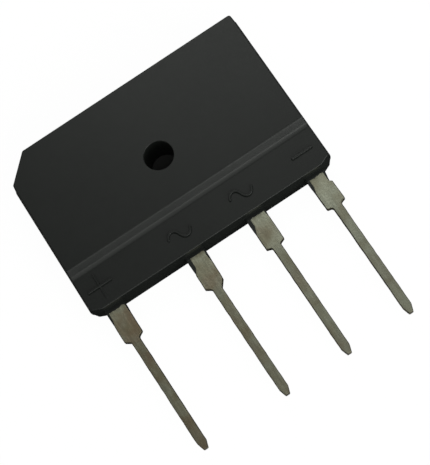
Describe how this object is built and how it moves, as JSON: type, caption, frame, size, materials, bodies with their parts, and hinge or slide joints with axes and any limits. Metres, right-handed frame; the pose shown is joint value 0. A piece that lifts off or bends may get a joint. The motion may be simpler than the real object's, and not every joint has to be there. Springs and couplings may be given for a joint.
{
  "type": "bridge rectifier",
  "caption": "Flat in-line bridge rectifier: a moulded block with a cut corner, a stepped front, a screw hole and a row of flat tinned leads.",
  "frame": {"origin": "centre of the screw hole at the body's back face", "axes": "+Z out of the stepped front face, +Y away from the leads, +X from the positive lead to the negative lead; the part lies on its back"},
  "size_m": [0.03, 0.0379, 0.0046],
  "materials": {
    "mould_compound": "black epoxy moulding compound, matt as moulded",
    "tinned_copper": "tin-plated copper strip, dull and slightly tarnished",
    "silicon": "polished silicon with a passivated rim",
    "solder": "reflowed high-lead solder, dull silver",
    "bare_copper": "bare stamped copper"
  },
  "bodies": {
    "root": {"moulded_body": "mould_compound", "positive_terminal": "tinned_copper", "ac_terminal_1": "tinned_copper", "ac_terminal_2": "tinned_copper", "negative_terminal": "tinned_copper", "diode_die_1": "silicon", "diode_die_2": "silicon", "diode_die_3": "silicon", "diode_die_4": "silicon", "die_solder_1": "solder", "die_solder_2": "solder", "die_solder_3": "solder", "die_solder_4": "solder", "top_solder_1": "solder", "top_solder_2": "solder", "top_solder_3": "solder", "top_solder_4": "solder", "ac_clip_1": "bare_copper", "ac_clip_2": "bare_copper", "negative_clip": "bare_copper", "clip_solder_1": "solder", "clip_solder_2": "solder", "clip_solder_3": "solder"}
  },
  "joints": []
}
